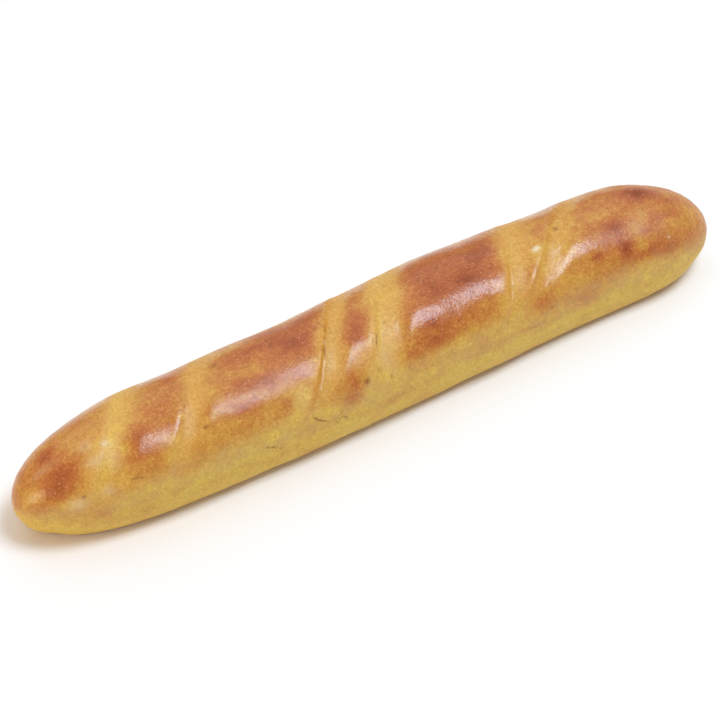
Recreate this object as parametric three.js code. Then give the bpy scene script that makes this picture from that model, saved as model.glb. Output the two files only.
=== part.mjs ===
// A soft, egg-glazed baguette: one closed solid, flat underneath, with six slanting cuts that
// opened while it baked. Units are millimetres. X runs along the loaf, Y across it and Z up.
// The origin is the middle of the flat base.
import * as THREE from "three";
import { mergeVertices } from "three/addons/utils/BufferGeometryUtils.js";

// Driving dimensions
const length = 340;
const width = 56; // across the widest line
const height = 42.5;
const baseWidth = 41; // the flat strip that lay on the baking sheet
const widestAt = 17; // height of the widest line above the base
const tipHeight = 15.8; // height of both tips above the base
const baseInset = 12.7; // the flat strip stops this far short of each tip
const noseLeft = 64.5; // length over which the long, slim end rounds off
const noseRight = 37.2; // and the blunter end
const shoulder = 2.12; // superellipse exponent of the domed top, where 2 is an ellipse

// Hand-rolled unevenness along the loaf: [x, share of the full girth] and [x, sideways bend]
const girthStations = [
  [-170, 0.98],
  [-115, 0.965],
  [-75, 0.985],
  [-35, 0.985],
  [10, 1.022],
  [45, 1.016],
  [85, 0.98],
  [125, 0.951],
  [170, 0.88],
];
const bendStations = [
  [-170, 0],
  [-110, -0.3],
  [-35, -1.2],
  [10, 0.5],
  [125, 0.3],
  [170, -4],
];

// The cuts. at: x where the lip crosses the ridge; slant: how far it runs back along X for each
// radian round the loaf; floor: width of the opened strip along X; depth: its deepest point.
const cuts = [
  { at: -126, slant: 16.3, floor: 9, depth: 0.8 },
  { at: -90.7, slant: 17.3, floor: 6, depth: 0.9 },
  { at: -24.2, slant: 19.3, floor: 6, depth: 1.6 },
  { at: 0.8, slant: 16.2, floor: 11, depth: 1.5 },
  { at: 67.3, slant: 13.5, floor: 7, depth: 1.6 },
  { at: 90.5, slant: 27, floor: 6, depth: 1.4 },
];
const lipHeight = 0.4; // the left edge of a cut curls up by this much
const lipWidth = 3;
const wallRun = 1.5; // half the run of the steep wall under the lip
const farRun = 6; // the right side of a cut slopes back up over this run
const nearReach = [60, 84].map(THREE.MathUtils.degToRad); // a cut dies away between these turns
const farReach = [8, 62].map(THREE.MathUtils.degToRad); // and sooner on the side of +Y
const valleyDepth = 0.35; // the dough sinks a little all round a cut
const valleyRun = 9;
const swell = 0.22; // slow lumps in the crust

// Mesh spacing
const ringGap = 4.4;
const noseRings = 9;
const topSteps = 36; // round the dome, from one widest line to the other
const flankSteps = 7; // from a widest line down to the edge of the base

const { smoothstep, lerp } = THREE.MathUtils;
const half = length / 2;

// A smooth curve through [x, value] stations.
function along(stations) {
  const at = new Float32Array(stations.map(([x]) => x));
  const value = new Float32Array(stations.map(([, v]) => v));
  const curve = new THREE.CubicInterpolant(at, value, 1, new Float32Array(1));
  return (x) => curve.evaluate(x)[0];
}
const girth = along(girthStations);
const bend = along(bendStations);

// How full an outline is at x: 1 over the middle, rounding to 0 at the two ends of its own length.
function fullness(x, inset) {
  const nose = x < 0 ? noseLeft : noseRight;
  const into = Math.max(0, (Math.abs(x) - (half - inset - nose)) / nose);
  return Math.sqrt(Math.max(0, 1 - into * into));
}

// The plain loaf, without cuts. turn is 0 on the ridge, a quarter turn at the widest line, where
// positive is the side of -Y, and a half turn at the edge of the flat base.
function plainLoaf(x, turn) {
  const round = fullness(x, 0);
  const size = girth(x);
  const halfWidth = (width / 2) * round * size;
  const halfBase = (baseWidth / 2) * fullness(x, baseInset) * size;
  const middle = lerp(tipHeight, widestAt, round);
  const top = lerp(tipHeight, height * size, round);
  const pastBase = Math.max(0, (Math.abs(x) - (half - baseInset)) / baseInset);
  const bottom = tipHeight * (1 - Math.sqrt(Math.max(0, 1 - pastBase * pastBase)));

  const side = -Math.sign(turn);
  const out = Math.abs(Math.sin(turn));
  const up = Math.cos(turn);
  if (up > 0) {
    const y = side * halfWidth * out ** (2 / shoulder);
    return new THREE.Vector3(x, y + bend(x), middle + (top - middle) * up ** (2 / shoulder));
  }
  const y = side * (halfBase + (halfWidth - halfBase) * out);
  return new THREE.Vector3(x, y + bend(x), middle + (middle - bottom) * up);
}

// Where a cut's lip lies at this turn.
const lipAt = (cut, turn) => cut.at - cut.slant * turn;

// Height of the crust over the plain loaf near one cut.
function cutRelief(cut, x, turn) {
  const off = x - lipAt(cut, turn);
  const reach = 1 - smoothstep(Math.abs(turn), ...(turn > 0 ? nearReach : farReach));
  const wall = smoothstep(off, -wallRun, wallRun);
  const back = 1 - smoothstep(off, cut.floor, cut.floor + farRun);
  const lip = Math.exp(-(((off + lipWidth) / lipWidth) ** 2));
  const valley = Math.exp(-(((off - cut.floor / 2) / (valleyRun + cut.floor / 2)) ** 2));
  return reach * (lipHeight * lip - cut.depth * wall * back - valleyDepth * valley);
}

// All relief, fading out before the tips and the base.
function relief(x, turn) {
  const lumps = Math.sin(x / 13 + 2 * turn) + Math.sin(x / 7.3 - 3 * turn + 1.3);
  const cutting = cuts.reduce((sum, cut) => sum + cutRelief(cut, x, turn), 0);
  const overBase = 1 - smoothstep(Math.abs(turn), 0.62 * Math.PI, 0.85 * Math.PI);
  const offTip = smoothstep(half - Math.abs(x), 2, 22);
  return overBase * offTip * (cutting + swell * lumps);
}

// A point of the crust: the plain loaf moved along its own normal by the relief.
function crust(x, turn) {
  const point = plainLoaf(x, turn);
  const amount = relief(x, turn);
  if (amount === 0) return point;
  const step = 0.01;
  const alongX = plainLoaf(x + step, turn).sub(plainLoaf(x - step, turn));
  const round = plainLoaf(x, turn + step).sub(plainLoaf(x, turn - step));
  const normal = round.cross(alongX).normalize();
  return point.addScaledVector(normal, amount);
}

// Rings of the mesh lean with the cuts, so that each lip runs along an edge.
const leans = [[-half, 0], ...cuts.map((cut) => [cut.at, cut.slant]), [half, 0]];
function leanAt(ring) {
  const next = leans.findIndex(([at], i) => i > 0 && ring <= at);
  const [[fromX, from], [toX, to]] = [leans[next - 1], leans[next]];
  return lerp(from, to, (ring - fromX) / (toX - fromX));
}
function ringX(ring, turn) {
  const underside = smoothstep(Math.abs(turn), 1, Math.PI);
  return ring - leanAt(ring) * lerp(turn, 0.5 * Math.sign(turn), underside);
}

// Ring places on the ridge: close at the tips and over each cut, even in between.
function ringPlaces() {
  const places = [];
  for (let i = 0; i < noseRings; i++) {
    const rounding = Math.cos((i / noseRings) * (Math.PI / 2));
    places.push(-half + noseLeft * (1 - rounding) * 0.6, half - noseRight * (1 - rounding));
  }
  for (const { at, floor } of cuts) {
    const steps = [-lipWidth * 2, -lipWidth, -wallRun, wallRun, floor * 0.6, floor, floor + farRun];
    places.push(...steps.map((off) => at + off));
  }
  places.sort((a, b) => a - b);
  const filled = [places[0]];
  for (let i = 1; i < places.length; i++) {
    const [from, to] = [places[i - 1], places[i]];
    const count = Math.max(1, Math.round((to - from) / ringGap));
    for (let k = 1; k <= count; k++) filled.push(lerp(from, to, k / count));
  }
  return filled;
}

// Turns of the mesh's columns, from the base edge on +Y over the ridge to the base edge on -Y.
function columnTurns() {
  const turns = [];
  for (let j = 0; j < flankSteps; j++) turns.push(-Math.PI + (j / flankSteps) * (Math.PI / 2));
  for (let j = 0; j <= topSteps; j++) turns.push(-Math.PI / 2 + (j / topSteps) * Math.PI);
  for (let j = 1; j <= flankSteps; j++) turns.push(Math.PI / 2 + (j / flankSteps) * (Math.PI / 2));
  return turns;
}

// The loaf's skin: rings joined by quads, and the flat base closes each ring from edge to edge.
function loafGeometry() {
  const rings = ringPlaces();
  const turns = columnTurns();
  const points = rings.flatMap((ring) => turns.map((turn) => crust(ringX(ring, turn), turn)));
  const columns = turns.length;
  const index = [];
  for (let i = 0; i + 1 < rings.length; i++) {
    for (let j = 0; j < columns; j++) {
      const [a, b] = [i * columns + j, i * columns + ((j + 1) % columns)];
      index.push(a, b, b + columns, a, b + columns, a + columns);
    }
  }
  const skin = new THREE.BufferGeometry().setFromPoints(points).setIndex(index);
  return withoutSlivers(mergeVertices(skin, 1e-3));
}

// Drops the triangles that closed up where the rings run together at the tips.
function withoutSlivers(geometry) {
  const old = geometry.index.array;
  const kept = [];
  for (let i = 0; i < old.length; i += 3) {
    const [a, b, c] = old.slice(i, i + 3);
    if (a !== b && b !== c && c !== a) kept.push(a, b, c);
  }
  return geometry.setIndex(kept);
}

const geometry = loafGeometry();
geometry.computeBoundingBox();
const centre = geometry.boundingBox.getCenter(new THREE.Vector3());
geometry.translate(-centre.x, -centre.y, 0);
geometry.computeVertexNormals();

const glazedCrust = new THREE.MeshStandardMaterial({
  name: "glazed crust",
  color: 0xc98a45,
  roughness: 0.4,
  metalness: 0,
});
const loaf = new THREE.Mesh(geometry, glazedCrust);
loaf.name = "loaf";

const baguette = new THREE.Group();
baguette.name = "baguette";
baguette.add(loaf);
export default baguette;
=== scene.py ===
# A soft, egg-glazed baguette on a pale studio floor.
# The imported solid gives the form. This adds the fine skin, sharp cut edges, lumps, browning and glaze.
# Sizes are in millimetres unless a name says otherwise, and mm turns them into Blender's metres.
import math
import bmesh
import bpy
import numpy as np
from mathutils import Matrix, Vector


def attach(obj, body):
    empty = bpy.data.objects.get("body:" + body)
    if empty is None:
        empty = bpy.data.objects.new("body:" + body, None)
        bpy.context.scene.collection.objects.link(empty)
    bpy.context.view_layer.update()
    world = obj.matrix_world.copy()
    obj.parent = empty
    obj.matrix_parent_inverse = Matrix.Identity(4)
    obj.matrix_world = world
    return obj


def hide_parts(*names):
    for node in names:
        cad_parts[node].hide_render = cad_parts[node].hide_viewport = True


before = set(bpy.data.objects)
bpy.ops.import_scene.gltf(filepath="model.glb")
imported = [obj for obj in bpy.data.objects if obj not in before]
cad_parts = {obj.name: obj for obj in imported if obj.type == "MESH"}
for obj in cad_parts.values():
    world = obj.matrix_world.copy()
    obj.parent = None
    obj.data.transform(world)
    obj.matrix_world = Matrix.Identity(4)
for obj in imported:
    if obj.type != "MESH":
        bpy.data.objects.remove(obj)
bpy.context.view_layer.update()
mm = 0.001

loafForm = {
    "facesAcross": 14,  # faces along each side of the starting cube
    "rows": 84,  # rows of faces between the two rounded ends, before they are divided
    "divisions": 2,
    "leftCap": -130.0,  # the rounded ends of the mesh start at these places along the loaf
    "rightCap": 140.0,
    "halfLength": 170.0,
    "halfWidth": 28.0,
    "tipHeight": 15.8,  # height of both tips
    "widestAt": 17.0,  # height of the widest line
    "domeHeight": 25.5,  # from there to the ridge
    "leftNose": 64.5,  # length over which each end rounds off
    "rightNose": 37.2,
    "lipZone": 4.0,  # rows of faces stand closer this far each side of a cut's lip
    "lipRows": 2.2,  # by this factor
    "rowMarks": 800,  # places along the loaf at which the crowding of the rows is added up
    "leanFades": (1.0, math.pi),  # between these turns, in radians, the rows lean less again
    "leanBelow": 0.5,  # until they lean as much as at this turn
    "settle": 6,  # smoothing steps that take the facets of the solid away
    "melt": 30,  # further steps at the cuts that opened without an edge
    "smoothing": 0.5,  # how far each of these steps goes
    "meanRadius": 26.0,  # turns an angle round the loaf into a distance
    "tipFullness": 0.02,  # never quite 0, so that the tips have a turn too
    # how far the middle of the loaf lies to the side: [x, y]
    "sideways": [[-170, -0.5], [-110, -0.8], [-35, -1.7], [10, 0.0], [125, -0.2], [170, -4.5]],
}

# at: where the lip crosses the ridge; slant: how far it runs back for each radian round the loaf;
# lip: how sharp its edge is; crease: how sharp its foot is, between the two turns of creased; pale: how
# little the strip that opened has browned; gold: how golden it still is; core: how much yellower its
# deepest line is. The strip lies between left and right, which are measured from the lip at each of the
# turns below, and its two sides fade over soft.
cutTurns = (-15, 0, 15, 45)  # degrees from the ridge
cuts = [
    {"at": -126.0, "slant": 16.3, "lip": 0.0, "crease": 0.0, "creased": (0, 40),
     "pale": 0.85, "gold": 0.2, "core": 0.16,
     "left": (-2, -2, -3.5, -4), "right": (10.5, 8.5, 6.5, 6.5), "soft": (5, 3.5)},
    {"at": -90.7, "slant": 17.3, "lip": 0.0, "crease": 0.0, "creased": (10, 50),
     "pale": 0.85, "gold": 0.3, "core": 0.03,
     "left": (-1.5, 1, 2.5, -2.5), "right": (8, 8.5, 9.5, 6.5), "soft": (2.5, 4)},
    {"at": -24.2, "slant": 19.3, "lip": 1.0, "crease": 0.7, "creased": (10, 50),
     "pale": 1.0, "gold": 0.24, "core": 0.04,
     "left": (-1.5, -4, -2, -3), "right": (8.5, 7.5, 7.5, 10), "soft": (3, 4.5)},
    {"at": 0.8, "slant": 16.2, "lip": 0.2, "crease": 0.1, "creased": (20, 40),
     "pale": 1.0, "gold": 0.2, "core": 0.12,
     "left": (-5, -3, -3, -3), "right": (11, 12, 11, 12), "soft": (4.5, 7)},
    {"at": 67.3, "slant": 13.5, "lip": 0.4, "crease": 0.15, "creased": (15, 50),
     "pale": 0.95, "gold": 0.3, "core": 0.05,
     "left": (-2, -3, -2, -3), "right": (9, 9, 7.5, 7), "soft": (3.5, 5)},
    {"at": 90.5, "slant": 27.0, "lip": 0.1, "crease": 0.0, "creased": (0, 40),
     "pale": 0.65, "gold": 0.42, "core": 0.05,
     "left": (1, 0, -2, -2), "right": (6, 11, 10, 6), "soft": (4, 5)},
]


def stepBetween(low, high, value):  # 0 below low, 1 above high, smooth in between
    share = np.clip((value - low) / (high - low), 0, 1)
    return share * share * (3 - 2 * share)


def bumpAt(distance, reach):  # 1 at no distance, fading to nothing past twice the reach
    return np.exp(-(distance / reach) ** 2)


def readPoints(mesh):
    flat = np.empty(len(mesh.vertices) * 3)
    mesh.vertices.foreach_get("co", flat)
    return flat.reshape(-1, 3) / mm


def writePoints(mesh, points):
    mesh.vertices.foreach_set("co", (points * mm).ravel())
    mesh.update()


def selectPoints(loaf, wanted):
    shape = bmesh.from_edit_mesh(loaf.data)
    for vertex in shape.verts:
        vertex.select_set(wanted(vertex.co / mm))
    shape.select_flush(True)
    bmesh.update_edit_mesh(loaf.data)


def selectEdges(loaf, wanted):
    shape = bmesh.from_edit_mesh(loaf.data)
    for edge in shape.edges:
        edge.select_set(wanted(*(vertex.co / mm for vertex in edge.verts)))
    bmesh.update_edit_mesh(loaf.data)


def applyModifier(loaf, kind, **settings):
    modifier = loaf.modifiers.new(kind.lower(), kind)
    for name, value in settings.items():
        setattr(modifier, name, value)
    bpy.ops.object.modifier_apply(modifier=modifier.name)


def fullness(x):  # 1 over the middle of the loaf, rounding to 0 at its tips
    nose = np.where(x < 0, loafForm["leftNose"], loafForm["rightNose"])
    into = np.maximum(0, (np.abs(x) - loafForm["halfLength"] + nose) / nose)
    return np.sqrt(np.maximum(0, 1 - into ** 2))


# a ball made from a cube, and pulled apart in the middle, so that neither tip has a pole
def buildCapsule():
    form = loafForm
    bpy.ops.object.select_all(action="DESELECT")
    bpy.ops.mesh.primitive_cube_add(size=2 * form["halfWidth"] * mm, location=(0, 0, 0))
    loaf = bpy.context.object
    loaf.name = "glazedLoaf"
    bpy.ops.object.mode_set(mode="EDIT")
    bpy.ops.mesh.select_mode(type="VERT")
    bpy.ops.mesh.select_all(action="SELECT")
    bpy.ops.mesh.subdivide(number_cuts=form["facesAcross"] - 1)
    bpy.ops.transform.tosphere(value=1)
    bpy.ops.object.mode_set(mode="OBJECT")
    ballRadius = np.linalg.norm(readPoints(loaf.data), axis=1).mean()
    bpy.ops.object.mode_set(mode="EDIT")
    ballSlack = 0.5  # vertices nearer the middle than this are the ring between the halves

    # each half becomes a cap of its own length, and moves out to its end
    for side, cap in ((-1, form["leftCap"]), (1, form["rightCap"])):
        selectPoints(loaf, lambda at: at.x * side > ballSlack)
        length = form["halfLength"] - abs(cap)
        narrowed = float(fullness(cap))
        bpy.ops.transform.resize(value=(length / ballRadius, narrowed, narrowed),
                                 center_override=(0, 0, 0))
        bpy.ops.transform.translate(value=(cap * mm, 0, 0))

    # the dome is higher than the underside is deep
    selectPoints(loaf, lambda at: True)
    bpy.ops.transform.resize(value=(1, form["halfWidth"] / ballRadius, 1), center_override=(0, 0, 0))
    for side, height in ((1, form["domeHeight"]), (-1, form["widestAt"])):
        selectPoints(loaf, lambda at: at.z * side > ballSlack)
        bpy.ops.transform.resize(value=(1, 1, height / ballRadius), center_override=(0, 0, 0))
    selectPoints(loaf, lambda at: True)
    bpy.ops.transform.translate(value=(0, 0, form["widestAt"] * mm))

    # the long faces between the caps are divided into rows
    bpy.ops.mesh.select_mode(type="EDGE")
    selectEdges(loaf, lambda a, b: abs(a.x - b.x) > form["halfLength"] / 2)
    bpy.ops.mesh.subdivide(number_cuts=form["rows"] // 2 - 1)
    bpy.ops.object.mode_set(mode="OBJECT")
    return loaf


# the rows of faces gather beside the lips and lean with them, so that each lip runs along an edge
def layRows(loaf):
    form = loafForm
    points = readPoints(loaf.data)
    left, right = form["leftCap"], form["rightCap"]
    marks = np.linspace(left, right, form["rowMarks"])
    crowding = sum(bumpAt(marks - cut["at"], form["lipZone"]) for cut in cuts)
    passed = np.cumsum(1 + (form["lipRows"] - 1) * crowding)
    passed = (passed - passed[0]) / (passed[-1] - passed[0])
    x, y, z = points.T
    middle = (x > left) & (x < right)
    toLeft = np.where(x < 0, x / -left * 0.5 + 0.5, x / right * 0.5 + 0.5)  # share of the rows
    x = np.where(middle, np.interp(toLeft, passed, marks), x)
    narrow = np.where(middle, fullness(x), 1)
    sinking = (form["widestAt"] - form["tipHeight"]) * (1 - fullness(x))
    y = y * narrow
    z = form["widestAt"] + (z - form["widestAt"]) * narrow - sinking
    turn = np.arctan2(-y, z - form["widestAt"] + sinking)
    slants = np.interp(x, [-form["halfLength"]] + [cut["at"] for cut in cuts] + [form["halfLength"]],
                       [0] + [cut["slant"] for cut in cuts] + [0])
    underneath = stepBetween(*form["leanFades"], np.abs(turn))
    x = x - slants * (turn * (1 - underneath) + form["leanBelow"] * np.sign(turn) * underneath)
    writePoints(loaf.data, np.stack([x, y, z], axis=1))


def shapeLoaf():
    loaf = buildCapsule()
    layRows(loaf)
    applyModifier(loaf, "SUBSURF", levels=loafForm["divisions"], render_levels=loafForm["divisions"])
    applyModifier(loaf, "SHRINKWRAP", target=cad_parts["loaf"], wrap_method="TARGET_PROJECT")
    applyModifier(loaf, "SMOOTH", factor=loafForm["smoothing"], iterations=loafForm["settle"])
    bpy.ops.object.shade_smooth()
    return loaf


loaf = shapeLoaf()
print("loaf shaped:", len(loaf.data.polygons), "faces")

# Thin folds and cracks in the crust, painted dark as shade inside each fold, and thin torn edges that
# stand up where the dough opened, painted pale with a painted glint along them:
# [x, degrees from the ridge, x, degrees, amount]
shadedCracks = [
    [-69, 82, -65, 85, 0.7], [-65, 85, -62, 92, 0.5], [-45.5, 72, -44.3, 77, 0.9],
    [-44.3, 77, -41, 81, 0.8], [-36.5, 84, -35, 90, 0.5], [-33, 79, -33.3, 84, 0.7],
    [-33.3, 84, -30.5, 88, 0.6], [-127, 58, -122.5, 60.5, 0.9], [36, 79, 43, 81, 0.25],
    [-24.2, -12, -23, -6, 0.6], [-23, -6, -23.8, -1, 0.8], [-26.4, 6, -27.5, 10, 0.4],
    [-27.5, 10, -31.2, 24, 0.5], [-6.3, 27, -8.5, 34, 0.9], [58, 82, 70, 85, 0.25],
    [-41, 78, -39, 84, 0.4], [-24.6, -8, -23, -6, 0.7], [93.6, -6, 94.4, -3, 0.8],
]
tornEdgesAndGlints = [
    [-31.4, 26, -34.4, 35, 1.0], [-34.4, 35, -36.9, 44, 1.0], [-36.9, 44, -38.8, 50, 0.9],
    [-27.2, 9, -28, 12, 0.8], [62.9, 25, 62.1, 29, 0.8], [62.1, 29, 60.6, 36, 1.0],
    [59.4, 41, 57.8, 47, 1.0], [76.5, 45, 74.6, 49, 0.7], [82.6, 37, 80.4, 41, 0.6],
    [86.8, 28, 84.2, 32, 0.7], [90.2, 17, 87.8, 21, 0.8], [-7.2, 26, -9.4, 34, 0.5],
]
thinLines = {
    "ends": (-0.8, 0.4),  # a line begins between these distances along it, and ends likewise
    "sides": (1.6, 2.6),  # and it is gone between these distances to the side
    "span": 6.0,  # the distance across it that its painted side takes to run from 0 to 1
}
# Burst bubbles, each a small pit whose floor is painted dark as shade in the hole: [x, degrees, radius]
pits = [
    [-73, -16, 1.0], [-48, -10, 0.9], [-91, 40, 0.9], [-67, 33, 0.8], [-147, 59, 0.9], [-30, 17, 0.6],
    [-20, 5, 0.6], [-19, 60, 1.4], [-7, 67, 0.7], [17, 50, 0.8], [28, -3, 0.7], [30, 45, 0.7],
    [94, -4, 1.0], [149, 7, 0.9], [0, 18, 0.6], [52, 67, 0.6], [-138, 8, 0.6], [74, 70, 0.7],
    [-11.5, 56, 0.6], [-27, -7, 0.6], [20, -13, 0.6], [-103, 3, 0.6], [8, 62, 0.5], [103, 42, 0.7],
]
# Small bubbles that rose under the glaze: [x, degrees, radius]
blisters = [
    [31, 64, 1.1], [8, 60, 1.0], [-37, -10, 0.8], [47, -17, 0.8], [31.5, 42, 0.9], [79, 11, 1.6],
    [-71, 77, 1.0], [14, -8, 0.8], [52, 9, 0.7], [40, -4, 0.7], [24, 3, 0.7],
]
# Paler places, where the glaze chipped off or flour clung, and painted sheen where light glances off
# pale crust, as long spots:
# [x, degrees, reach along x, reach in degrees, amount]
paleAndSheenPlaces = [
    [79, 11, 1.6, 2.4, 1.0], [139, 51, 0.7, 1.5, 0.4], [-131, 15, 1.7, 3.4, 0.34],
    [-138, 27, 3.5, 6, 0.22], [-150, 66, 3.5, 8, 0.24], [-138, 8, 3, 7, 0.14], [-137, 62, 2.5, 6, 0.2],
    [86, 22, 2, 5, 0.2], [-7, 50, 4, 12, 0.14], [-48, 50, 5, 10, 0.08], [-157, 3, 5, 6, 0.12],
    [-131, 38, 3, 10, 0.08],
]

# The browning. Along the near side the brown top turns pale yellow at these places: [x, degrees]
paleEdge = [
    [-170, 76], [-158, 70], [-142, 88], [-122, 64], [-100, 76], [-80, 65], [-60, 62], [-51, 50],
    [-45, 48], [-40, 66], [-25, 76], [-14, 52], [-8, 46], [0, 66], [20, 62], [50, 60], [70, 68],
    [90, 84], [100, 76], [120, 70], [140, 73], [170, 82],
]
# How brown the crust is along the ridge, and half way down the near side: [x, amount]
topBrowning = [
    [-170, 0.38], [-158, 0.48], [-148, 0.46], [-138, 0.38], [-120, 0.42], [-112, 0.46], [-100, 0.46],
    [-84, 0.46], [-60, 0.5], [-45, 0.62], [-28, 0.55], [-10, 0.58], [14, 0.58], [26, 0.68], [60, 0.72],
    [66, 0.5], [80, 0.34], [104, 0.49], [120, 0.52], [135, 0.54], [150, 0.48], [170, 0.44],
]
lowBrowning = [
    [-170, 0.34], [-158, 0.44], [-150, 0.44], [-142, 0.3], [-130, 0.32], [-120, 0.44], [-105, 0.38],
    [-88, 0.38], [-72, 0.44], [-58, 0.4], [-52, 0.28], [-46, 0.2], [-40, 0.3], [-26, 0.42], [-16, 0.35],
    [-9, 0.1], [-2, 0.36], [8, 0.49], [20, 0.53], [40, 0.47], [54, 0.44], [60, 0.3], [68, 0.5],
    [80, 0.4], [95, 0.42], [110, 0.45], [122, 0.45], [135, 0.48], [150, 0.47], [170, 0.45],
]
# How thickly the egg was brushed on, which makes the film smoother: [x, amount]
glazing = [
    [-170, 0.7], [-122, 1.0], [-91, 1.0], [-86, 0.75], [-70, 0.54], [-36, 0.54], [-28, 0.7], [-8, 0.78],
    [2, 1.0], [58, 1.0], [66, 0.8], [88, 0.9], [95, 1.0], [100, 1.0], [106, 0.72], [126, 0.72],
    [136, 0.3], [170, 0.3],
]
# Where the film dried dull, as long spots:
dullPlaces = [
    [-15, 39, 5, 7, 0.8], [-96.5, 21, 2.2, 8, 0.65], [-25, 23, 3, 6, 0.5], [-112, 40, 7, 5, 0.6],
    [65.5, 33, 3, 10, 0.7], [79, 33, 3, 8, 0.6], [58.5, 30, 5, 14, 0.45], [131, 24, 8, 14, 0.5],
    [30, 33, 22, 9, 0.08],
]
# Where the crust stood closer to the heat, or further off, as long spots; the one low on the near flank
# at x -88 is painted light, lifting the crust where the floor's shade falls:
patches = [
    [-152, 22, 6, 17, 0.2], [-156, 40, 5, 12, 0.16], [-152, -13, 5, 9, 0.24], [-143, 88, 6, 8, 0.16],
    [-146, 5, 8, 10, -0.04], [-134, 12, 5, 14, -0.08], [-137, 36, 4, 12, -0.08],
    [-118, 22, 6, 10, 0.15], [-93, -20, 6, 9, 0.14], [-118, 40, 6, 9, 0.14], [-150, 64, 6, 9, -0.25],
    [-104, 8, 8, 12, 0.07], [-164, 30, 4, 20, -0.1], [-37, -5, 9, 14, 0.2], [-29, -26, 8, 9, 0.16],
    [-70, 17, 6, 8, 0.16], [-60, 24, 6, 7, 0.14], [-72, 38, 7, 6, 0.2], [-55, 49, 5, 6, 0.14],
    [-58, 12, 10, 5, -0.07], [-78, 8, 5, 12, -0.06], [-60, -12, 14, 10, 0.08], [-12, -17, 6, 9, 0.06],
    [-10, 5, 5, 8, 0.08], [-14, 19, 5.5, 8, 0.2], [-23, 59, 4, 8, 0.22], [-40, 31, 7, 6, 0.14],
    [-35, 55, 3, 6, 0.34], [-41, 57, 2.2, 8, 0.45], [-28, 70, 4, 6, 0.2], [42, 12, 6, 7, 0.18],
    [28, 12, 5, 6, 0.14], [55, -8, 7, 9, 0.14], [20, -5, 6, 10, 0.05], [18, 36, 4, 6, 0.2],
    [18, 52, 7, 8, 0.14], [5, 52, 4, 8, 0.1], [57, 50, 5, 7, 0.06], [85, -8, 6, 9, 0.06],
    [69, 58, 4, 9, 0.3], [72, 30, 3, 9, 0.12], [93, 80, 6, 9, 0.13], [105, -10, 6, 10, 0.1],
    [112, 2, 7, 9, -0.12], [139, -10, 9, 12, 0.4], [117, 22, 5, 8, 0.25], [106, 30, 9, 6, 0.1],
    [117, 46, 3.5, 9, 0.42], [103, 42, 3.5, 4, 0.3], [90, 58, 14, 8, -0.1], [134, 20, 9, 9, -0.06],
    [126, 58, 6, 6, 0.24], [137, 63, 6, 6, 0.18], [150, 10, 5, 8, 0.12], [150, 40, 10, 20, -0.02],
    [35, 72, 30, 5, 0.1], [142, 28, 8, 5, 0.12], [133, 37, 5, 5, 0.08], [125, 50, 2.5, 9, -0.14],
    [158, 20, 4, 14, -0.06], [-10, 95, 12, 10, 0.12], [30, 84, 12, 4, 0.1], [-140, 105, 14, 12, 0.1],
    [-88, 98, 24, 12, -0.07], [62, 82, 12, 4, 0.12],
]


def columnsOf(table):
    return [row[0] for row in table], [row[1] for row in table]


# how far along the loaf each point is, and its turn in degrees from the ridge towards -Y
def placesOf(points):
    form = loafForm
    x, y, z = points.T
    full = np.maximum(fullness(x), form["tipFullness"])
    middle = form["tipHeight"] + (form["widestAt"] - form["tipHeight"]) * full
    up = (z - middle) / np.where(z > middle, form["domeHeight"] * full, middle)
    y = y - np.interp(x, *columnsOf(form["sideways"]))
    return x, np.degrees(np.arctan2(-y / (form["halfWidth"] * full), up))


def pastLip(cut, x, turn):
    return x - cut["at"] + cut["slant"] * np.radians(turn)


# 1 in the middle of a spot, 0 well outside, and the spot is round if across isn't given
def spotAt(x, turn, spot, reach, across=None):
    along = (x - spot[0]) / reach
    around = (turn - spot[1]) / (across or math.degrees(reach / loafForm["meanRadius"]))
    return np.exp(-along ** 2 - around ** 2)


def placesAt(x, turn, table):  # all the long spots of a table together, each by its amount
    return sum(place[4] * spotAt(x, turn, place, place[2], place[3]) for place in table)


# how present thin lines are, and how far each point lies to the side of the nearest one
def linesAt(x, turn, lines):
    present, aside = np.zeros(len(x)), np.zeros(len(x))
    radius = loafForm["meanRadius"]
    ground = np.stack([x, np.radians(turn) * radius], axis=1)
    for line in lines:
        start, end = (np.array([line[i], math.radians(line[i + 1]) * radius]) for i in (0, 2))
        run = np.linalg.norm(end - start)
        forward = (end - start) / run
        ahead = (ground - start) @ forward
        side = (ground - start) @ np.array([-forward[1], forward[0]])
        within = stepBetween(*thinLines["ends"], ahead) * stepBetween(*thinLines["ends"], run - ahead)
        here = line[4] * within * (1 - stepBetween(*thinLines["sides"], np.abs(side)))
        nearest = here > present
        present, aside = np.where(nearest, here, present), np.where(nearest, side, aside)
    return present, aside


relief = {
    "lumps": (("slowLumps", 22, 0.5), ("smallLumps", 7, 0.18)),  # the size of each kind and its height
    "baseFade": (0.3, 5),  # they begin between these heights, so that the base stays flat
    "meltAt": 4,  # a cut without a lip melted round this distance past it
    "meltReach": 9,
    "nearFade": (58, 76),  # lips and creases die away between these turns
    "farFade": (-62, -30),
    "lipAt": -1.2,  # where the folded edge stands highest, measured from the lip's line
    "creaseAt": 0.3,
    "foldReach": 1.0,
    "creaseFade": 8,  # degrees each way over which a crease begins and ends
    "lipHeight": 0.35,
    "creaseHeight": -0.4,
    "pitHeight": -0.18,
    "blisterHeight": 0.3,
    "leastWeight": 0.01,  # points that would move less than this share are left out
}


def weighPoints(loaf, name, weights):
    group = loaf.vertex_groups.new(name=name)
    for index in np.flatnonzero(weights > relief["leastWeight"]):
        group.add([int(index)], float(min(weights[index], 1)), "REPLACE")


def press(loaf, name, weights, height, texture=None, middle=0):  # moves the crust out or in
    weighPoints(loaf, name, weights)
    applyModifier(loaf, "DISPLACE", vertex_group=name, strength=height * mm, texture=texture,
                  mid_level=middle)
    loaf.vertex_groups.remove(loaf.vertex_groups[name])


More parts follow.
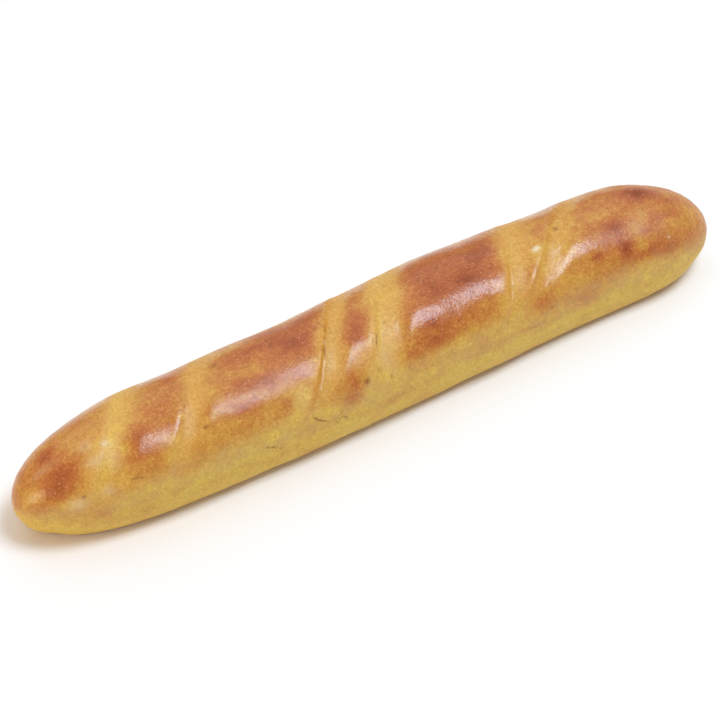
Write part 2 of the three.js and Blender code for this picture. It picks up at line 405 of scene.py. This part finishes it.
def meltCuts(loaf):  # the cuts without a lip ran together again while they baked
    x, turn = placesOf(readPoints(loaf.data))
    soft = sum((1 - cut["lip"]) * bumpAt(pastLip(cut, x, turn) - relief["meltAt"], relief["meltReach"])
               for cut in cuts)
    weighPoints(loaf, "softCuts", soft)
    applyModifier(loaf, "SMOOTH", factor=loafForm["smoothing"], iterations=loafForm["melt"],
                  vertex_group="softCuts")
    loaf.vertex_groups.remove(loaf.vertex_groups["softCuts"])


def addRelief(loaf):
    offBase = stepBetween(*relief["baseFade"], readPoints(loaf.data)[:, 2])
    for kind, size, height in relief["lumps"]:
        lumps = bpy.data.textures.new(kind, "CLOUDS")
        lumps.noise_scale = size * mm
        press(loaf, kind, offBase, height, lumps, middle=0.5)
    x, turn = placesOf(readPoints(loaf.data))
    nearEnd = 1 - stepBetween(*relief["nearFade"], turn)
    farEnd = stepBetween(*relief["farFade"], turn)
    fade = relief["creaseFade"]
    lips, creases = np.zeros(len(x)), np.zeros(len(x))
    for cut in cuts:
        off = pastLip(cut, x, turn)
        lips += cut["lip"] * nearEnd * farEnd * bumpAt(off - relief["lipAt"], relief["foldReach"])
        start, end = cut["creased"]
        begun = stepBetween(start - fade, start + fade, turn)
        ended = stepBetween(end - fade, end + fade, turn)
        foot = bumpAt(off - relief["creaseAt"], relief["foldReach"])
        creases += cut["crease"] * begun * (1 - ended) * foot
    press(loaf, "lips", lips, relief["lipHeight"])
    press(loaf, "creases", creases, relief["creaseHeight"])
    for name, bubbles in (("pit", pits), ("blister", blisters)):
        spots = sum(spotAt(x, turn, bubble, bubble[2]) for bubble in bubbles)
        press(loaf, name + "s", spots, relief[name + "Height"])


baking = {
    "lowFrom": (22, 46),  # between these turns the low table takes over from that of the ridge
    "farLow": 0.42,  # how brown the hidden side is half way down
    "farEdge": 6,  # the pale flank starts this many degrees lower there
    "paleFade": (-15, 13),  # degrees before and past the pale edge over which the brown turns pale
    "flank": 0.12,  # how brown the pale flank is
    "flankLoses": 0.09,  # and how much less it is so below its widest line
    "widestLine": (80, 100),  # the turns between which that changes
    "patchStrength": 1.2,  # of the places nearer to the heat
    "nearFade": (52, 82),  # the opened strips die away between these turns
    "farFade": (-78, -45),
    "besideStrip": 5,  # the crust is paler this much further out than the strip itself
    "besideBrowning": 0.24,  # and at most this brown
    "besideStrength": 0.8,
    "creaseGoldAndShade": 0.38,  # the dough along a crease is painted darker gold, partly its own colour and partly painted shade in the crease
    "creaseAt": -0.6,
    "creaseReach": 2.6,
    "coreAt": 2,  # the deepest line of a cut lies this far past its lip
    "coreReach": 3,
    "dustFrom": (52, 70),  # the flour on the flank begins and ends between these turns
    "dustTo": (82, 96),
    "undersideTo": (0.3, 2.5),  # heights over which the underside's colour ends
    "darkestPit": 0.9,  # a pit of a larger radius is no darker
    "glazeFrom": (0.1, 0.4),  # the film of egg sets in between these amounts of browning
}


def topAndFlanks(x, turn):  # how brown the crust is, cuts aside
    away = np.abs(turn)
    low = np.where(turn > 0, np.interp(x, *columnsOf(lowBrowning)), baking["farLow"])
    # the far side's edge wanders too, so it reads the same table from the other end
    farEdge = np.interp(-x, *columnsOf(paleEdge)) + baking["farEdge"]
    edge = np.where(turn > 0, np.interp(x, *columnsOf(paleEdge)), farEdge)
    top = np.interp(x, *columnsOf(topBrowning))
    browning = top + (low - top) * stepBetween(*baking["lowFrom"], away)
    yellow = baking["flank"] - baking["flankLoses"] * stepBetween(*baking["widestLine"], away)
    browned = 1 - stepBetween(*baking["paleFade"], away - edge)
    browning = yellow + (browning - yellow) * browned
    return browning + baking["patchStrength"] * placesAt(x, turn, patches)


def insideStrip(cut, off, turn, wider):  # 1 within a cut's strip, fading at its two sides
    left, right = (np.interp(turn, cutTurns, cut[side]) for side in ("left", "right"))
    near, far = cut["soft"]
    return stepBetween(-near - wider, near, off - left) * stepBetween(-far - wider, far, right - off)


# the crust beside the cuts turns paler, and their floors are opened and more or less golden
def openCuts(x, turn, browning):
    opened, gold = np.zeros(len(x)), np.zeros(len(x))
    reach = (1 - stepBetween(*baking["nearFade"], turn)) * stepBetween(*baking["farFade"], turn)
    for cut in cuts:
        off = pastLip(cut, x, turn)
        beside = reach * insideStrip(cut, off, turn, baking["besideStrip"])
        paler = np.minimum(browning, baking["besideBrowning"])
        browning = browning + (paler - browning) * baking["besideStrength"] * beside
        strip = cut["pale"] * reach * insideStrip(cut, off, turn, 0)
        foot = bumpAt(off - baking["creaseAt"], baking["creaseReach"])
        core = bumpAt(off - baking["coreAt"], baking["coreReach"])
        tint = cut["gold"] + baking["creaseGoldAndShade"] * cut["crease"] * foot - cut["core"] * core
        gold = np.where(strip > opened, tint, gold)
        opened = np.maximum(opened, strip)
    return browning, opened, gold


def paintCrust(loaf):
    points = readPoints(loaf.data)
    x, turn = placesOf(points)
    away = np.abs(turn)
    browning, opened, gold = openCuts(x, turn, topAndFlanks(x, turn))
    layers = {
        "browning": browning,
        "opened": opened,
        "gold": gold,
        "dusted": stepBetween(*baking["dustFrom"], away) * (1 - stepBetween(*baking["dustTo"], away)),
        "underside": 1 - stepBetween(*baking["undersideTo"], points[:, 2]),
        # painted shade on the floors of the pits
        "shadedPits": sum(min(pit[2], baking["darkestPit"]) * spotAt(x, turn, pit, pit[2]) for pit in pits),
        # chips and flour, and painted sheen on pale crust
        "chippedAndSheen": placesAt(x, turn, paleAndSheenPlaces),
    }
    # dark lines of painted shade in the folds, and pale torn edges with a painted glint
    for name, lines in (("crackShade", shadedCracks), ("tornGlint", tornEdgesAndGlints)):
        layers[name], aside = linesAt(x, turn, lines)
        layers[name + "Side"] = 0.5 + aside / thinLines["span"]  # the middle of the line is at 0.5
    brushed = np.interp(x, *columnsOf(glazing)) * stepBetween(*baking["glazeFrom"], browning)
    layers["glaze"] = brushed - placesAt(x, turn, dullPlaces)
    for name, values in layers.items():
        layer = loaf.data.attributes.new(name, "FLOAT", "POINT")
        layer.data.foreach_set("value", np.clip(values, 0, 1).astype(np.float32))


meltCuts(loaf)
addRelief(loaf)
paintCrust(loaf)
print("cuts, lumps, bubbles and browning added")


def linear(hexColour):  # sRGB hex to the linear colour that a shader takes
    channels = [int(hexColour[i:i + 2], 16) / 255 for i in (1, 3, 5)]
    return [c / 12.92 if c <= 0.04045 else ((c + 0.055) / 1.055) ** 2.4 for c in channels] + [1]


# of the inputs, a node or a socket is linked, and a value is set
def addNode(tree, kind, inputs=None, stops=(), **settings):
    node = tree.nodes.new("ShaderNode" + kind)
    for name, value in settings.items():
        setattr(node, name, value)
    for name, value in (inputs or {}).items():
        if isinstance(value, bpy.types.Node):
            value = next(socket for socket in value.outputs if socket.enabled)
        if isinstance(value, bpy.types.NodeSocket):
            tree.links.new(value, node.inputs[name])
        else:
            node.inputs[name].default_value = value
    while stops and len(node.color_ramp.elements) < len(stops):
        node.color_ramp.elements.new(0.5)
    for i, (place, colour) in enumerate(stops):
        node.color_ramp.elements[i].position = place
        node.color_ramp.elements[i].color = linear(colour)
    return node


def newMaterial(name):
    material = bpy.data.materials.new(name)
    material.use_nodes = True
    return material, material.node_tree, material.node_tree.nodes["Principled BSDF"]


# White dough brushed with beaten egg and baked in a fan oven: the egg browns to red-gold on top and
# dries to a thin satin film, the flanks stay pale yellow and almost matt, and the opened cuts show bare
# dough.
crust = {
    "browned": [(0.0, "#dcb64b"), (0.15, "#d5a649"), (0.3, "#ce943f"), (0.42, "#c58338"),
                (0.55, "#bc6e30"), (0.7, "#af5d2c"), (0.85, "#9f4d21"), (1.0, "#8c3b0c")],
    "bare": [(0.0, "#dcac46"), (0.15, "#d7a34c"), (0.3, "#d59b46"), (0.55, "#cd8b31"),
             (0.85, "#b96722")],
    "deeper": "#c8b285",  # the crust's colour is multiplied by this where its small spots are deepest
    "depthStrength": ((0.1, 0.9), (0.5, 1.6)),  # how strong they are at two amounts of browning
    "cutEdge": (0.08, 0.95),  # the crust gives way to bare dough between these, once its edge varies
    "dust": "#c2a46c",  # a trace of flour on the flanks
    "dusting": 0.3,
    "dustEdge": (0.3, 0.68),  # it thickens where the ragged pattern rises between these
    "underside": "#b07a3e",
    "shadedPitFloor": "#8c461e",  # the floor of a pit, painted dark as shade in the hole
    "chipAndSheen": "#efe0c2",  # where the glaze came off or flour clung, and painted sheen where light glances off pale crust
    # the dark of a crack is painted shade inside the fold
    "crackShade": "#843f18",
    "crackShadeWidth": 1.0,
    "tornGlint": "#f4c998",  # a thin torn edge of pale dough, with a painted glint along it
    "tornGlintWidth": 1.05,
    "lineFade": 0.75,  # a thin line has faded this share of its width from its middle
    "lineBreaks": (0.38, 0.58),  # and is fainter where the grain is below these, down to a least share
    "lineLeast": 0.3,
    "dot": "#d99c6c",
    # a pore's dark is painted shade in its small hole
    "shadedPore": "#8f4315",
    "dotGap": 2.1,
    "dotEdge": (0.08, 0.26),  # shares of the gap between which a dot or a pore fades out
    "dotShare": 0.4,  # of all the small bubbles
    "poreShare": 0.2,
    "dotClarity": 0.62,  # the dots show as clearly as the crust is brown, up to this
    # the patterns of the dough, by the size of their patches; the dried film is speckled more finely
    # than the last of them, which is as coarse as it needs to be to show
    "blotchSize": 9.0,
    "stretch": 0.45,  # blotches are drawn out along the loaf, as the dough was rolled
    "raggedSize": 5.0,
    "grainSize": 1.7,
    "speckleSize": 0.95,
    "patternRoughness": 0.55,
    # how much each pattern changes the browning, the bare dough, the edges of the cuts, the depth of
    # colour, the course of the thin lines and the roughness
    "browningVaries": {"blotch": 0.4, "ragged": 0.4, "grain": 0.04},
    "bareVaries": {"blotch": 0.34, "ragged": 0.34},
    "edgesVary": {"ragged": 1.2, "grain": 0.6},
    "depthVaries": {"speckle": 0.9, "grain": 0.6},
    "linesWander": {"ragged": 0.25, "grain": 0.1},
    "roughnessVaries": {"blotch": 0.3},
    # how high each pattern and thin line stands
    "heights": {"ragged": 0.09, "grain": 0.088, "speckle": 0.06, "crackShade": -0.3, "tornGlint": 0.25},
    "roughness": (0.17, 0.52, 0.8),  # glazed top, flank, underside
    "bareRoughness": 0.47,
    "shine": 0.4,  # specular level: the dried egg film reflects a little less than clear varnish
}


def crustMaterial():
    material, tree, shader = newMaterial("eggGlazedCrust")
    place = addNode(tree, "TexCoord").outputs["Object"]
    layers = ("browning", "opened", "gold", "dusted", "underside", "shadedPits", "chippedAndSheen", "glaze",
              "crackShade", "crackShadeSide", "tornGlint", "tornGlintSide")
    painted = {name: addNode(tree, "Attribute", attribute_name=name).outputs["Fac"] for name in layers}
    drawnOut = addNode(tree, "Mapping", {"Vector": place, "Scale": (crust["stretch"], 1, 1)})
    patterns = {}
    kinds = (("blotch", drawnOut, 3), ("ragged", place, 2), ("grain", place, 3), ("speckle", place, 2))
    for name, where, detail in kinds:
        patterns[name] = addNode(tree, "TexNoise", {
            "Vector": where, "Scale": 1 / (crust[name + "Size"] * mm), "Detail": detail,
            "Roughness": crust["patternRoughness"]})

    def varied(value, amounts):  # more or less by the patterns
        for name, amount in amounts.items():
            part = addNode(tree, "MapRange", {
                "Value": patterns[name], "To Min": -amount / 2, "To Max": amount / 2}, clamp=False)
            value = addNode(tree, "Math", {0: value, 1: part}, operation="ADD")
        return value

    # browned crust, and bare dough in the cuts
    level = varied(painted["browning"], crust["browningVaries"])
    browned = addNode(tree, "ValToRGB", {"Fac": level}, stops=crust["browned"])
    gold = varied(painted["gold"], crust["bareVaries"])
    bare = addNode(tree, "ValToRGB", {"Fac": gold}, stops=crust["bare"])
    crustEnds, doughBegins = crust["cutEdge"]
    opened = addNode(tree, "MapRange", {
        "Value": varied(painted["opened"], crust["edgesVary"]), "From Min": crustEnds,
        "From Max": doughBegins}, interpolation_type="SMOOTHSTEP")
    colour = addNode(tree, "Mix", {0: opened, 6: browned, 7: bare}, data_type="RGBA")

    # small spots are a deeper colour, most of all where the glaze is brown
    (paleLevel, paleStrength), (brownLevel, brownStrength) = crust["depthStrength"]
    strength = addNode(tree, "MapRange", {
        "Value": painted["browning"], "From Min": paleLevel, "From Max": brownLevel,
        "To Min": paleStrength, "To Max": brownStrength})
    depth = varied(0.0, crust["depthVaries"])
    depth = addNode(tree, "Math", {0: depth, 1: strength}, operation="MULTIPLY")
    deeper = addNode(tree, "Gamma", {"Color": linear(crust["deeper"]), "Gamma": depth})
    colour = addNode(tree, "Mix", {0: 1.0, 6: colour, 7: deeper}, data_type="RGBA",
                     blend_type="MULTIPLY")

    # flour lies in ragged patches low on the flanks
    noDust, mostDust = crust["dustEdge"]
    dust = addNode(tree, "MapRange", {
        "Value": patterns["ragged"], "From Min": noDust, "From Max": mostDust,
        "To Max": crust["dusting"]})
    dust = addNode(tree, "Math", {0: dust, 1: painted["dusted"]}, operation="MULTIPLY")
    colour = addNode(tree, "Mix", {0: dust, 6: colour, 7: linear(crust["dust"])}, data_type="RGBA")

    # pale dots where small bubbles lifted the glaze, and dark pores where they burst, whose dark is
    # painted shade in the holes
    cells = addNode(tree, "TexVoronoi", {"Vector": place, "Scale": 1 / (crust["dotGap"] * mm)})
    dotInside, dotOutside = crust["dotEdge"]
    dots = addNode(tree, "MapRange", {
        "Value": cells, "From Min": dotInside, "From Max": dotOutside, "To Min": 1.0, "To Max": 0.0})
    clarity = addNode(tree, "Math", {0: painted["browning"], 1: crust["dotClarity"]},
                      operation="MINIMUM")
    dots = addNode(tree, "Math", {0: dots, 1: clarity}, operation="MULTIPLY")
    chance = addNode(tree, "SeparateColor", {0: cells.outputs["Color"]})  # a number for each bubble
    for comparison, limit, kind in (("GREATER_THAN", 1 - crust["dotShare"], "dot"),
                                    ("LESS_THAN", crust["poreShare"], "shadedPore")):
        chosen = addNode(tree, "Math", {0: chance, 1: limit}, operation=comparison)
        chosen = addNode(tree, "Math", {0: chosen, 1: dots}, operation="MULTIPLY")
        colour = addNode(tree, "Mix", {0: chosen, 6: colour, 7: linear(crust[kind])}, data_type="RGBA")

    # the painted shade of the cracks and the painted glint of the torn edges wander a little and break
    # up
    thin = {}
    breaksBelow, wholeAbove = crust["lineBreaks"]
    for name in ("crackShade", "tornGlint"):
        aside = varied(painted[name + "Side"], crust["linesWander"])
        aside = addNode(tree, "Math", {0: aside, 1: 0.5}, operation="SUBTRACT")
        aside = addNode(tree, "Math", {0: aside}, operation="ABSOLUTE")
        faded = crust["lineFade"] * crust[name + "Width"] / thinLines["span"]
        line = addNode(tree, "MapRange", {
            "Value": aside, "From Max": faded, "To Min": 1.0, "To Max": 0.0})
        broken = addNode(tree, "MapRange", {
            "Value": patterns["grain"], "From Min": breaksBelow, "From Max": wholeAbove,
            "To Min": crust["lineLeast"]})
        line = addNode(tree, "Math", {0: line, 1: broken}, operation="MULTIPLY")
        thin[name] = addNode(tree, "Math", {0: line, 1: painted[name]}, operation="MULTIPLY")
        colour = addNode(tree, "Mix", {0: thin[name], 6: colour, 7: linear(crust[name])},
                         data_type="RGBA")
    # painted shade in the pits, chips and flour with painted sheen, then the underside
    for name, kind in (("shadedPits", "shadedPitFloor"), ("chippedAndSheen", "chipAndSheen"), ("underside", "underside")):
        colour = addNode(tree, "Mix", {0: painted[name], 6: colour, 7: linear(crust[kind])},
                         data_type="RGBA")
    tree.links.new(colour.outputs[2], shader.inputs["Base Color"])

    # the egg film is smooth, and bare dough, flanks and underside are duller
    glazed, flank, underside = crust["roughness"]
    rough = addNode(tree, "MapRange", {"Value": painted["glaze"], "To Min": flank, "To Max": glazed})
    rough = varied(rough, crust["roughnessVaries"])
    rough = addNode(tree, "Mix", {0: opened, 2: rough, 3: crust["bareRoughness"]})
    rough = addNode(tree, "Mix", {0: painted["underside"], 2: rough, 3: underside})
    tree.links.new(rough.outputs[0], shader.inputs["Roughness"])
    shader.inputs["Specular IOR Level"].default_value = crust["shine"]

    relievedBy = {**patterns, **thin}
    height = 0.0
    for name, rise in crust["heights"].items():
        height = addNode(tree, "Math", {0: relievedBy[name], 1: rise, 2: height},
                         operation="MULTIPLY_ADD")
    bump = addNode(tree, "Bump", {"Height": height, "Distance": mm, "Strength": 1.0})
    tree.links.new(bump.outputs["Normal"], shader.inputs["Normal"])
    return material


loaf.data.materials.append(crustMaterial())
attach(loaf, "root")
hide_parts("loaf")
print("crust glazed")

studio = {
    "viewAzimuth": -31.73,  # degrees
    "viewElevation": 45.0,
    "viewDistance": 1100.0,
    "nearestShown": 50.0,  # the camera draws nothing nearer
    "viewTarget": (-6.78, -0.395, 14.52),
    "lens": 129.35,
    "floorSize": 6000.0,
    "floorColour": "#faf4ef",
    "floorRoughness": 0.9,
    # a long window above the loaf, so that its sheen runs below the ridge, a dim wall behind that gives
    # the top its veil, and a little light on the slim end: place, size, power and colour
    "keyPlace": (718.0, -410.0, 2000.0),
    "keySize": (1015.0, 800.0),
    "keyPower": 35.0,
    "keyColour": "#d8ecff",
    "wallPlace": (350.0, 900.0, 1240.0),
    "wallSize": (2200.0, 1650.0),
    "wallPower": 7.7,
    "wallColour": "#d8e6ff",
    "sidePlace": (-930.0, -30.0, 350.0),
    "sideSize": (300.0, 480.0),
    "sidePower": 2.2,
    "sideColour": "#ffe9d2",
    "skyColour": "#fdf6ec",
    "skyStrength": 0.46,
}


def addStudio():
    bpy.ops.object.select_all(action="DESELECT")
    bpy.ops.mesh.primitive_plane_add(size=studio["floorSize"] * mm, location=(0, 0, 0))
    floor = bpy.context.object
    floor.name = "floor"
    paper, _, shader = newMaterial("palePaper")
    shader.inputs["Base Color"].default_value = linear(studio["floorColour"])
    shader.inputs["Roughness"].default_value = studio["floorRoughness"]
    floor.data.materials.append(paper)
    for name in ("key", "wall", "side"):
        place = Vector(studio[name + "Place"])
        bpy.ops.object.light_add(type="AREA", location=place * mm)
        light = bpy.context.object
        light.name = name + "Light"
        light.data.shape = "ELLIPSE" if name == "side" else "RECTANGLE"
        light.data.size, light.data.size_y = (side * mm for side in studio[name + "Size"])
        light.data.energy = studio[name + "Power"]
        light.data.color = linear(studio[name + "Colour"])[:3]
        if name == "key":  # its long side stays in line with the loaf
            light.rotation_euler = (math.atan2(-place.y, place.z), 0, 0)
        else:
            light.rotation_mode = "QUATERNION"
            light.rotation_quaternion = place.to_track_quat("Z", "Y")
    world = bpy.data.worlds.new("paleRoom")
    world.use_nodes = True
    world.node_tree.nodes["Background"].inputs["Color"].default_value = linear(studio["skyColour"])
    world.node_tree.nodes["Background"].inputs["Strength"].default_value = studio["skyStrength"]
    bpy.context.scene.world = world
    azimuth, elevation = (math.radians(studio[name]) for name in ("viewAzimuth", "viewElevation"))
    back = Vector((math.sin(azimuth) * math.cos(elevation), -math.cos(azimuth) * math.cos(elevation),
                   math.sin(elevation)))
    eye = Vector(studio["viewTarget"]) + back * studio["viewDistance"]
    bpy.ops.object.camera_add(location=eye * mm)
    camera = bpy.context.object
    camera.name = "camera"
    camera.rotation_mode = "QUATERNION"
    camera.rotation_quaternion = (-back).to_track_quat("-Z", "Y")
    camera.data.lens = studio["lens"]
    camera.data.clip_start = studio["nearestShown"] * mm
    bpy.context.scene.camera = camera
    bpy.context.scene.view_settings.view_transform = "Standard"


addStudio()
print("studio set")
